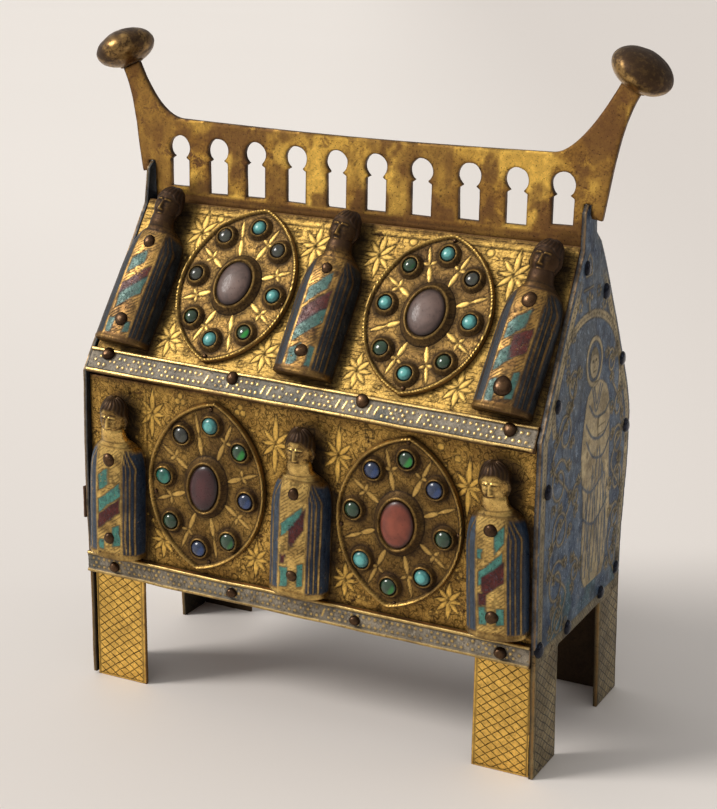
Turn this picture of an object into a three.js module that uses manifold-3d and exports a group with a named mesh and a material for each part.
// Reliquary casket: a hollow, house-shaped box of gilt and enamelled copper plates.
// It stands on eight strap legs, two below each wall, paired at the corners. Two pointed gable
// walls carry a pierced upright crest whose ends sweep up into horns with round knobs.
// The front wall and the front roof slope each carry three applied half-round figures and two
// pointed-oval plates set with cabochon stones. Millimetres, +Z up, the front faces -Y.
import * as THREE from "three";
import { mergeVertices } from "three/addons/utils/BufferGeometryUtils.js";
import Module from "manifold-3d";

// ---------------------------------------------------------------- driving dimensions
const GAP = 0.3; // clearance between touching pieces
const WALL = 1.8; // copper plate thickness of walls and gables
const ROOF_WALL = 1.6; // copper plate thickness of the roof slopes

// the model's origin: middle of the overall box, at floor level
const ORIGIN_X = 2.5193;
const ORIGIN_Y = -2.1238;

// gables: distance of the outer face from the middle at the feet, the eaves and the tip
const GABLE_R = { foot: 100, eaves: 98.1, tip: 95.4 };
const GABLE_L = { foot: 100, eaves: 100, tip: 95.4 };
const EAVES_Z = 134;
const TIP_Z = 212.4;
const GABLE_FLOOR_Z = 46.6; // lower edge of the gables between their legs
const GABLE_FRONT_Y = -45.9;
const GABLE_BACK_Y = 47.8;
const GABLE_LEG = 23;
const SHORT_LEG = 1.2; // the left gable's front leg is a little short

// front wall
const FRONT_Y = -44.2; // outer face
const BACK_Y = 44.6; // outer face of the back wall
const PLATE_FLOOR_Z = 47.2;
const FRONT_TOP_L = 132.0;
const FRONT_TOP_R = 130.9;
const BACK_TOP_Z = 117.5;
const LEG_W = 23.8;

// front roof slope: lower edge point of its outer face, and its direction
const ROOF_Y0 = -45;
const ROOF_Z0 = 133.5;
const ROOF_RUN = 41;
const ROOF_RISE = 62.5;
const ROOF_TOP_S = 76.5; // length up the slope
const ROOF_LOW_L = 0.4; // lower edge at the left and the right end
const ROOF_LOW_R = -3.6;

// enamelled strips
const STRIP_T = 2.0;
const EAVES_STRIP = { topL: 10.4, topR: 5.9, lowL: -0.3, lowR: -4.3 };
const BASE_STRIP = { topL: 56.3, topR: 55.1, lowL: 46.9, lowR: 45.6, out: 2.8 };

// crest
const CREST_T = 2.4;
const CREST_Y = 0; // front face
const CREST_LOW_Z = 195.6;
const CREST_TOP_Z = 230.6;
const CREST_SAG = 1.2;
const CREST_FLAT = 80; // half length of the level top edge
const KEY_X = [-81.2, -63.2, -46, -27.5, -9.5, 7.7, 27.1, 47.1, 66.3, 84.9];
const KEY_LOW_Z = [203.1, 201.3, 201.5, 201.3, 201.1, 201.5, 201.6, 202, 202.1, 203.9];
const KEY_HEAD_R = 4.8;
const KEY_SLOT = 4.25; // half width of the slot
const KEY_NECK = 2.7; // half width between the imposts
const KEY_NECK_Z = 215.1;

// horns and knobs
const HORN_L = { side: -1, foot: 99.2, low: 207.8, knobX: 107.1, knobZ: 257.4, tilt: 24 };
const HORN_R = { side: 1, foot: 100.4, low: 206.8, knobX: 112.4, knobZ: 262.3, tilt: 29 };
const HORN_W = 8.2;
const KNOB_R = 12.4;
const KNOB_H = 7.5;
const KNOB_SEAT = 7.0;

// pointed-oval plates: place on the wall or slope, half height, half width, lean to the right
const OVALS = {
  upper_left: { on: "roof", x: -42.0, y: 43.6, h: 33.5, w: 25.6, lean: 8.1, stone: [7.3, 9.3] },
  upper_right: { on: "roof", x: 41.8, y: 42.2, h: 33.0, w: 25.9, lean: 4.9, stone: [7.5, 9.6] },
  lower_left: { on: "front", x: -42.6, y: 93.4, h: 36.2, w: 26.7, lean: 7.5, stone: [6.5, 9.8] },
  lower_right: { on: "front", x: 42.2, y: 93.4, h: 35.3, w: 26.5, lean: 7.0, stone: [7.1, 9.6] },
};
const OVAL_T = 1.0;
const RIM_W = 1.5;
const RIM_H = 2.4;
const RING = [0.71, 0.735]; // the ring of small stones, as a share of the plate's half width and height
const COLLET = { base: 5.1, top: 4.2, high: 3.1 };
const SMALL_R = 3.2;
const SMALL_H = 2.1;
const LARGE_H = 2.9;

// applied figures: place of the middle of the hem, lean to the right, half width
const FIGURES = {
  upper_left: { on: "roof", x: -85.0, y: 11.6, lean: 4.4, w: 12.0 },
  upper_centre: { on: "roof", x: -2.3, y: 9.6, lean: 2.5, w: 12.1 },
  upper_right: { on: "roof", x: 80.5, y: 7.3, lean: 3.6, w: 11.6 },
  lower_left: { on: "front", x: -84.6, y: 57.4, lean: 1.8, w: 12.4 },
  lower_centre: { on: "front", x: -0.3, y: 57.4, lean: 2.2, w: 12.5 },
  lower_right: { on: "front", x: 84.3, y: 57.4, lean: -2.0, w: 12.1 },
};
const FIGURE_H = 68.5;

// ---------------------------------------------------------------- materials
const material = (color, metalness, roughness) =>
  new THREE.MeshStandardMaterial({ color, metalness, roughness });
const GILT = material(0xb8913f, 0.95, 0.38);
const GILT_WORN = material(0x8f6a35, 0.9, 0.45);
const COPPER = material(0x7a5233, 0.85, 0.55);
const ENAMEL_BLUE = material(0x4f6f86, 0.15, 0.35);
const ENAMEL_GREY = material(0x8d9395, 0.2, 0.4);
const ENAMEL_DARK = material(0x2b3a4c, 0.2, 0.35);
const BRONZE_DARK = material(0x5b4527, 0.9, 0.35);
const STONES = {
  turquoise: material(0x5fb8b4, 0, 0.3),
  green: material(0x1d6b3a, 0, 0.12),
  blue: material(0x2f4a7a, 0, 0.12),
  grey: material(0x53504e, 0, 0.15),
  mauve: material(0x8d6f70, 0, 0.3),
  maroon: material(0x4a2626, 0, 0.2),
  coral: material(0x9c4a36, 0, 0.25),
};
// small stones by plate, counted from the top one round to the right
const SMALL = {
  upper_left: ["turquoise", "grey", "turquoise", "green", "turquoise", "green", "grey", "grey"],
  upper_right: ["turquoise", "grey", "turquoise", "green", "turquoise", "green", "turquoise", "green"],
  lower_left: ["turquoise", "green", "blue", "green", "blue", "green", "turquoise", "grey"],
  lower_right: ["green", "blue", "green", "turquoise", "green", "turquoise", "green", "blue"],
};
const LARGE = { upper_left: "mauve", upper_right: "mauve", lower_left: "maroon", lower_right: "coral" };

// ---------------------------------------------------------------- solid helpers
const wasm = await Module();
wasm.setup();

const toSolid = (geometry) => {
  const g = geometry.index ? geometry.toNonIndexed() : geometry.clone();
  g.deleteAttribute("normal");
  g.deleteAttribute("uv");
  const m = mergeVertices(g, 1e-4);
  return new wasm.Manifold(
    new wasm.Mesh({
      numProp: 3,
      vertProperties: m.attributes.position.array,
      triVerts: new Uint32Array(m.index.array),
    }),
  );
};
const toGeometry = (solid) => {
  const m = solid.getMesh();
  const n = m.numProp;
  const v = new Float32Array(m.numVert * 3);
  for (let i = 0; i < m.numVert; i++) v.set(m.vertProperties.subarray(i * n, i * n + 3), i * 3);
  const g = new THREE.BufferGeometry()
    .setAttribute("position", new THREE.BufferAttribute(v, 3))
    .setIndex(new THREE.BufferAttribute(m.triVerts, 1));
  g.computeVertexNormals();
  return g;
};
const join = (...geometries) => toGeometry(geometries.map(toSolid).reduce((a, b) => a.add(b)));

// moves every vertex of a geometry by a function of its place
const remap = (geometry, fn) => {
  const p = geometry.attributes.position;
  const v = new THREE.Vector3();
  for (let i = 0; i < p.count; i++) {
    fn(v.fromBufferAttribute(p, i));
    p.setXYZ(i, v.x, v.y, v.z);
  }
  geometry.computeVertexNormals();
  return geometry;
};

const shapeOf = (points, holes = []) => {
  const s = new THREE.Shape(points.map(([a, b]) => new THREE.Vector2(a, b)));
  s.holes = holes.map((h) => new THREE.Path(h.map(([a, b]) => new THREE.Vector2(a, b))));
  return s;
};
const slab = (points, depth, holes) =>
  new THREE.ExtrudeGeometry(shapeOf(points, holes), { depth, bevelEnabled: false, steps: 1 });

// outline in X and Z, from y0 back to y0 + depth
const slabXZ = (points, y0, depth, holes) =>
  slab(points, depth, holes).rotateX(Math.PI / 2).translate(0, y0 + depth, 0);
// outline in Y and Z, from x0 to x0 + depth
const slabYZ = (points, x0, depth) =>
  slab(points, depth).applyMatrix4(new THREE.Matrix4().set(0, 0, 1, x0, 1, 0, 0, 0, 0, 1, 0, 0, 0, 0, 0, 1));

const lerp = (a, b, t) => a + (b - a) * t;

// outer face of a gable at a height, as a distance from the middle plane
const gableX = (g, z) =>
  z < EAVES_Z
    ? lerp(g.foot, g.eaves, z / EAVES_Z)
    : lerp(g.eaves, g.tip, (z - EAVES_Z) / (TIP_Z - EAVES_Z));
// where a piece between the gables ends
const innerX = (side, z) => side * (gableX(side > 0 ? GABLE_R : GABLE_L, z) - WALL - GAP);

// ---------------------------------------------------------------- gables
// The rear outline swells a little below the eaves and rounds over into the back slope.
const REAR = [
  [GABLE_BACK_Y, 22],
  [46.9, 49],
  [48, 75],
  [50.6, 95],
  [52.2, 113],
  [51.5, 123],
  [47.2, EAVES_Z],
];
const REAR_SLOPE = [
  [36.1, 157.1],
  [29, 170.7],
  [22, 184.6],
  [14.2, 196.9],
  [9.2, 201],
  [8.8, 209.5],
  [4.5, TIP_Z],
];
function gable(side, g, drop) {
  const lower = [
    [GABLE_FRONT_Y + 0.8, drop],
    [GABLE_FRONT_Y + 0.8 + GABLE_LEG, drop],
    [GABLE_FRONT_Y + 1.0 + GABLE_LEG, GABLE_FLOOR_Z],
    [GABLE_BACK_Y - GABLE_LEG - 0.6, GABLE_FLOOR_Z],
    [GABLE_BACK_Y - GABLE_LEG + 0.6, 0],
    [GABLE_BACK_Y, 0],
    ...REAR,
    [GABLE_FRONT_Y, EAVES_Z],
    [GABLE_FRONT_Y - (side < 0 ? 1.1 : 0.1), 78],
    [GABLE_FRONT_Y + 0.5, GABLE_FLOOR_Z],
  ];
  const upper = [
    [GABLE_FRONT_Y, EAVES_Z],
    [47.2, EAVES_Z],
    ...REAR_SLOPE,
    [0, TIP_Z],
    [-3, 210],
    [-4, 195.6],
  ];
  const place = (v) => (v.x = side * (gableX(g, v.z) - WALL + v.x));
  const part = (outline) => {
    const geometry = remap(slabYZ(outline, 0, WALL), place);
    if (side < 0) {
      // a mirrored plate has its triangles turned round again
      const flat = geometry.index ? geometry.toNonIndexed() : geometry;
      const p = flat.attributes.position;
      const a = new THREE.Vector3();
      const b = new THREE.Vector3();
      for (let i = 0; i < p.count; i += 3) {
        a.fromBufferAttribute(p, i + 1);
        b.fromBufferAttribute(p, i + 2);
        p.setXYZ(i + 1, b.x, b.y, b.z);
        p.setXYZ(i + 2, a.x, a.y, a.z);
      }
      return flat;
    }
    return geometry;
  };
  return join(part(lower), part(upper));
}

// ---------------------------------------------------------------- walls, roof and floor
function wall(y0, topL, topR) {
  const foot = innerX(1, 0);
  return slabXZ(
    [
      [-foot, 0],
      [-foot + LEG_W, 0],
      [-foot + LEG_W, PLATE_FLOOR_Z],
      [foot - LEG_W, PLATE_FLOOR_Z],
      [foot - LEG_W, 0],
      [foot, 0],
      [innerX(1, topR), topR],
      [innerX(-1, topL), topL],
    ],
    y0,
    WALL,
  );
}

// a frame on the roof slope: X across, Y up the slope, Z outwards
const roofFrame = new THREE.Matrix4().makeBasis(
  new THREE.Vector3(1, 0, 0),
  new THREE.Vector3(0, ROOF_RUN, ROOF_RISE).normalize(),
  new THREE.Vector3(0, -ROOF_RISE, ROOF_RUN).normalize(),
);
const frontFrame = new THREE.Matrix4().makeBasis(
  new THREE.Vector3(1, 0, 0),
  new THREE.Vector3(0, 0, 1),
  new THREE.Vector3(0, -1, 0),
);
const slopeZ = (s, out = 0) =>
  ROOF_Z0 + (s * ROOF_RISE + out * ROOF_RUN) / Math.hypot(ROOF_RUN, ROOF_RISE);

// front roof slope, drawn in the slope's frame: its outer face is Z = 0
const roofFront = () =>
  slab(
    [
      [innerX(-1, slopeZ(ROOF_LOW_L)), ROOF_LOW_L],
      [innerX(1, slopeZ(ROOF_LOW_R)), ROOF_LOW_R],
      [innerX(1, slopeZ(ROOF_TOP_S)), ROOF_TOP_S],
      [innerX(-1, slopeZ(ROOF_TOP_S)), ROOF_TOP_S],
    ],
    ROOF_WALL,
  ).translate(0, 0, -ROOF_WALL);

// back roof slope: a curved section, run from gable to gable
function roofBack() {
  const outer = [
    [48.6, 119.2],
    [43.8, 135],
    [33.2, 156],
    [26.2, 169.6],
    [19.2, 183.4],
    [11.6, 195.2],
    [3.4, 199.4],
  ];
  const inner = outer.map(([y, z], i) => {
    const a = outer[Math.max(i - 1, 0)];
    const b = outer[Math.min(i + 1, outer.length - 1)];
    const l = Math.hypot(b[0] - a[0], b[1] - a[1]);
    return [y - ((b[1] - a[1]) / l) * ROOF_WALL, z + ((b[0] - a[0]) / l) * ROOF_WALL];
  });
  const g = slabYZ([...outer, ...inner.reverse()], 0, 1);
  return remap(g, (v) => (v.x = v.x > 0.5 ? innerX(1, v.z) : innerX(-1, v.z)));
}

const bottomPlate = () =>
  slabXZ(
    [
      [-innerX(1, 50) + 0.4, PLATE_FLOOR_Z + 0.3],
      [innerX(1, 50) - 0.4, PLATE_FLOOR_Z + 0.3],
      [innerX(1, 50) - 0.4, PLATE_FLOOR_Z + 0.3 + WALL],
      [-innerX(1, 50) + 0.4, PLATE_FLOOR_Z + 0.3 + WALL],
    ],
    FRONT_Y + WALL + GAP,
    BACK_Y - FRONT_Y - 2 * WALL - 2 * GAP,
  );

// ---------------------------------------------------------------- strips
// The eaves strip lies on the lower edge of the roof slope and falls slightly to the right.
const eavesStrip = () => {
  const s = EAVES_STRIP;
  return slab(
    [
      [innerX(-1, slopeZ(s.lowL)), s.lowL],
      [innerX(1, slopeZ(s.lowR)), s.lowR],
      [innerX(1, slopeZ(s.topR)), s.topR],
      [innerX(-1, slopeZ(s.topL)), s.topL],
    ],
    STRIP_T,
  ).translate(0, 0, GAP);
};
// The base strip laps over the left gable's front edge and stops at the right gable.
function baseStrip() {
  const s = BASE_STRIP;
  const lap = GABLE_FRONT_Y - 0.35;
  const outline = [
    [-99.9, FRONT_Y - s.out],
    [innerX(1, 50), FRONT_Y - s.out],
    [innerX(1, 50), FRONT_Y - GAP],
    [innerX(-1, 50), FRONT_Y - GAP],
    [innerX(-1, 50), lap],
    [-99.9, lap],
  ];
  const g = new THREE.ExtrudeGeometry(shapeOf(outline), { depth: 1, bevelEnabled: false });
  return remap(g, (v) => {
    const t = (v.x + 100) / 197;
    v.z = v.z > 0.5 ? lerp(s.topL, s.topR, t) : lerp(s.lowL, s.lowR, t);
  });
}

// ---------------------------------------------------------------- crest
// keyhole opening: a slot under a round head, with pointed imposts at the neck
function keyhole(x, lowZ) {
  const cz = KEY_NECK_Z + Math.sqrt(KEY_HEAD_R ** 2 - KEY_NECK ** 2);
  const from = -Math.acos(KEY_NECK / KEY_HEAD_R);
  const points = [
    [x - KEY_SLOT, lowZ],
    [x + KEY_SLOT, lowZ],
    [x + KEY_SLOT + 0.1, KEY_NECK_Z - 1.1],
  ];
  const n = 13;
  for (let i = 0; i <= n; i++) {
    const a = lerp(from, Math.PI - from, i / n);
    points.push([x + KEY_HEAD_R * Math.cos(a), cz + KEY_HEAD_R * Math.sin(a)]);
  }
  points.push([x - KEY_SLOT - 0.1, KEY_NECK_Z - 1.1]);
  return points;
}
// outline of a horn, from the foot of the crest's outer end up, round its tip and down to the top edge
function horn(h) {
  const a = THREE.MathUtils.degToRad(h.tilt);
  const axis = [Math.sin(a), Math.cos(a)];
  const seat = [h.knobX - axis[0] * (KNOB_SEAT + GAP), h.knobZ - axis[1] * (KNOB_SEAT + GAP)];
  const outer = [seat[0] + (axis[1] * HORN_W) / 2, seat[1] - (axis[0] * HORN_W) / 2];
  const inner = [seat[0] - (axis[1] * HORN_W) / 2, seat[1] + (axis[0] * HORN_W) / 2];
  const V = (p) => new THREE.Vector2(...p);
  const up = new THREE.CubicBezierCurve(
    V([h.foot, h.low]),
    V([h.foot + 2.7, h.low + 14]),
    V([outer[0] - axis[0] * 14 - 0.6, outer[1] - axis[1] * 14]),
    V(outer),
  ).getPoints(8);
  const down = new THREE.CubicBezierCurve(
    V(inner),
    V([inner[0] - axis[0] * 9, inner[1] - axis[1] * 9]),
    V([CREST_FLAT + 10, CREST_TOP_Z + 0.6]),
    V([CREST_FLAT, CREST_TOP_Z]),
  ).getPoints(10);
  return [...up, ...down].map((p) => [h.side * p.x, p.y]);
}
function crest() {
  const notch = (h, g) => {
    const inX = gableX(g, TIP_Z) - WALL - GAP - 0.1;
    const outX = gableX(g, 204) + GAP + 0.1;
    return [
      [h.side * (inX - 0.3), CREST_LOW_Z],
      [h.side * inX, TIP_Z + 1],
      [h.side * (inX + 1.1), TIP_Z + 5],
      [h.side * outX, TIP_Z + 1],
      [h.side * outX, h.low + 0.6],
    ];
  };
  const top = [];
  for (let i = 1; i < 12; i++) {
    const t = i / 12;
    top.push([lerp(CREST_FLAT, -CREST_FLAT, t), CREST_TOP_Z - CREST_SAG * Math.sin(Math.PI * t)]);
  }
  const outline = [
    ...notch(HORN_L, GABLE_L).slice(0, 1),
    ...notch(HORN_R, GABLE_R),
    ...horn(HORN_R),
    ...top,
    ...horn(HORN_L).reverse(),
    ...notch(HORN_L, GABLE_L).slice(1).reverse(),
  ];
  return slabXZ(outline, CREST_Y, CREST_T, KEY_X.map((x, i) => keyhole(x, KEY_LOW_Z[i]).reverse()));
}
// knob: a flattened ball with a small flat seat on the horn's tip
function knob() {
  const points = [new THREE.Vector2(0, -KNOB_SEAT)];
  const from = -Math.asin(KNOB_SEAT / KNOB_H);
  const n = 9;
  for (let i = 0; i <= n; i++) {
    const a = lerp(from, Math.PI / 2, i / n);
    points.push(new THREE.Vector2(i === n ? 0 : KNOB_R * Math.cos(a), KNOB_H * Math.sin(a)));
  }
  return new THREE.LatheGeometry(points, 20).rotateX(Math.PI / 2);
}

// ---------------------------------------------------------------- pointed-oval plates and stones
// two arcs that meet in a point above and below; an inset keeps the arcs concentric
function lens(h, w, inset = 0, n = 13) {
  const R = (h * h + w * w) / (2 * w);
  const r = R - inset;
  const c = R - w;
  const end = Math.acos(c / r);
  const points = [];
  for (let i = 0; i < n; i++) {
    const a = lerp(-end, end, i / n);
    points.push([r * Math.cos(a) - c, r * Math.sin(a)]);
  }
  for (let i = 0; i < n; i++) {
    const a = lerp(-end, end, i / n);
    points.push([-r * Math.cos(a) + c, -r * Math.sin(a)]);
  }
  return points;
}
const cone = (base, top, z0, z1, sides) =>
  new THREE.CylinderGeometry(top, base, z1 - z0, sides, 1).rotateX(Math.PI / 2).translate(0, 0, (z0 + z1) / 2);
const ringPoint = (o, i) => {
  const a = Math.PI / 2 - (i * Math.PI) / 4;
  return [o.w * RING[0] * Math.cos(a), o.h * RING[1] * Math.sin(a)];
};
function ovalPlate(o) {
  const plate = slab(lens(o.h, o.w), OVAL_T).translate(0, 0, GAP);
  const rim = slab(lens(o.h, o.w), RIM_H, [lens(o.h, o.w, RIM_W).reverse()]).translate(0, 0, GAP);
  const cones = [];
  for (let i = 0; i < 8; i++) {
    const [x, y] = ringPoint(o, i);
    cones.push(cone(COLLET.base, COLLET.top, GAP + 0.4, COLLET.high, 10).translate(x, y, 0));
  }
  cones.push(
    cone(1.24, 1.12, GAP + 0.4, COLLET.high + 0.4, 18).scale(o.stone[0] * 1.03, o.stone[1], 1),
  );
  return join(plate, rim, ...cones);
}
// cabochon: a low dome on a flat base
function cabochon(rx, ry, high, sides) {
  const points = [new THREE.Vector2(0, 0), new THREE.Vector2(0.96, 0)];
  for (const a of [14, 52]) {
    const r = THREE.MathUtils.degToRad(a);
    points.push(new THREE.Vector2(Math.cos(r), Math.sin(r)));
  }
  points.push(new THREE.Vector2(0, 1));
  return new THREE.LatheGeometry(points, sides).rotateX(Math.PI / 2).scale(rx, ry, high);
}

// ---------------------------------------------------------------- applied figures
// Stations up a figure: height, half width as a share of the body's, depth in front of the
// section's middle, depth behind it, and the middle's distance from the wall.
const STATIONS = [
  { y: 0, w: 1.0, front: 8.6, back: 0, mid: 0 },
  { y: 1.6, w: 1.0, front: 8.9, back: 0, mid: 0 },
  { y: 20, w: 1.0, front: 9.4, back: 0, mid: 0 },
  { y: 37, w: 0.985, front: 9.5, back: 0, mid: 0 },
  { y: 43, w: 0.9, front: 9.2, back: 0, mid: 0 },
  { y: 47, w: 0.72, front: 8.4, back: 0, mid: 0 },
  { y: 49.6, w: 0.5, front: 6.4, back: 0.5, mid: 1 },
  { y: 51.5, w: 0.37, front: 4.6, back: 2.2, mid: 3.6 },
  { y: 53.6, w: 0.37, front: 4.3, back: 3.4, mid: 5 },
  { y: 55, w: 0.41, front: 5.2, back: 4.3, mid: 5.6 },
  { y: 57.4, w: 0.46, front: 5.5, back: 4.8, mid: 5.7 },
  { y: 59.4, w: 0.48, front: 6.4, back: 5, mid: 5.7 },
  { y: 61.8, w: 0.49, front: 5.5, back: 5.1, mid: 5.7 },
  { y: 64.4, w: 0.46, front: 5.3, back: 4.8, mid: 5.7 },
  { y: 66.9, w: 0.33, front: 3.9, back: 3.4, mid: 5.7 },
  { y: FIGURE_H - 0.3, w: 0.12, front: 1.4, back: 1.2, mid: 5.7 },
];
function figure(halfWidth) {
  const n = 14;
  const rows = STATIONS.map((s) => {
    const row = [];
    for (let i = 0; i < n; i++) {
      const a = (i * 2 * Math.PI) / n;
      const body = s.y < 48;
      const c = Math.cos(a);
      const d = Math.sin(a);
      const x = halfWidth * s.w * Math.sign(c) * Math.abs(c) ** (body ? 0.82 : 1);
      const z = s.mid + GAP + (d > 0 ? s.front * Math.abs(d) ** (body ? 0.7 : 0.95) : d * s.back);
      row.push(new THREE.Vector3(x, s.y, z));
    }
    return row;
  });
  const position = [];
  const tri = (a, b, c) => position.push(...a.toArray(), ...b.toArray(), ...c.toArray());
  const cap = (row, up) => {
    const middle = row.reduce((m, p) => m.add(p), new THREE.Vector3()).divideScalar(row.length);
    row.forEach((p, i) => {
      const q = row[(i + 1) % row.length];
      if (up) tri(middle, q, p);
      else tri(middle, p, q);
    });
  };
  for (let k = 0; k + 1 < rows.length; k++)
    for (let i = 0; i < n; i++) {
      const j = (i + 1) % n;
      tri(rows[k][i], rows[k + 1][i], rows[k + 1][j]);
      tri(rows[k][i], rows[k + 1][j], rows[k][j]);
    }
  cap(rows[0], false);
  cap(rows[rows.length - 1], true);
  return new THREE.BufferGeometry().setAttribute("position", new THREE.Float32BufferAttribute(position, 3));
}

// ---------------------------------------------------------------- the casket
const casket = new THREE.Group();
casket.position.set(-ORIGIN_X, -ORIGIN_Y, 0);
const front = new THREE.Group();
front.applyMatrix4(frontFrame);
front.position.set(0, FRONT_Y, 0);
const roof = new THREE.Group();
roof.applyMatrix4(roofFrame);
roof.position.set(0, ROOF_Y0, ROOF_Z0);
casket.add(front, roof);

const add = (parent, name, geometry, mat) => {
  const mesh = new THREE.Mesh(geometry, mat);
  mesh.name = name;
  parent.add(mesh);
  return mesh;
};

add(casket, "gable_left", gable(-1, GABLE_L, SHORT_LEG), ENAMEL_BLUE);
add(casket, "gable_right", gable(1, GABLE_R, 0), ENAMEL_BLUE);
add(casket, "front_wall", wall(FRONT_Y, FRONT_TOP_L, FRONT_TOP_R), GILT);
add(casket, "back_wall", wall(BACK_Y - WALL, BACK_TOP_Z, BACK_TOP_Z), GILT_WORN);
add(roof, "roof_front", roofFront(), GILT);
add(casket, "roof_back", roofBack(), GILT_WORN);
add(casket, "bottom_plate", bottomPlate(), COPPER);
add(roof, "eaves_strip", eavesStrip(), ENAMEL_GREY);
add(casket, "base_strip", baseStrip(), ENAMEL_GREY);
add(casket, "crest", crest(), GILT);
for (const [name, h] of [["left", HORN_L], ["right", HORN_R]]) {
  const k = add(casket, "knob_" + name, knob(), BRONZE_DARK);
  k.position.set(h.side * h.knobX, CREST_Y + CREST_T / 2, h.knobZ);
  k.rotation.y = (h.side * h.tilt * Math.PI) / 180;
}

// small leaf on the outside of the left gable, near its front edge
add(
  casket,
  "side_leaf",
  slabYZ([[-46.4, 70.6], [-34.5, 71.2], [-34.5, 83.4], [-46.4, 84]], -GABLE_L.foot - GAP - 1.3, 1.3),
  COPPER,
);

for (const [name, o] of Object.entries(OVALS)) {
  const place = new THREE.Group();
  place.position.set(o.x, o.y, 0);
  place.rotation.z = -THREE.MathUtils.degToRad(o.lean);
  (o.on === "roof" ? roof : front).add(place);
  add(place, "oval_" + name, ovalPlate(o), GILT_WORN);
  const big = add(
    place,
    "stone_" + name + "_centre",
    cabochon(o.stone[0], o.stone[1], LARGE_H, 18),
    STONES[LARGE[name]],
  );
  big.position.z = COLLET.high + 0.4 + GAP;
  for (let i = 0; i < 8; i++) {
    const [x, y] = ringPoint(o, i);
    const s = add(
      place,
      "stone_" + name + "_" + (i + 1),
      cabochon(SMALL_R, SMALL_R, SMALL_H, 10),
      STONES[SMALL[name][i]],
    );
    s.position.set(x, y, COLLET.high + GAP);
  }
}

for (const [name, f] of Object.entries(FIGURES)) {
  const m = add(f.on === "roof" ? roof : front, "figure_" + name, figure(f.w), ENAMEL_DARK);
  m.position.set(f.x, f.y, 0);
  m.rotation.z = -THREE.MathUtils.degToRad(f.lean);
}

export default casket;
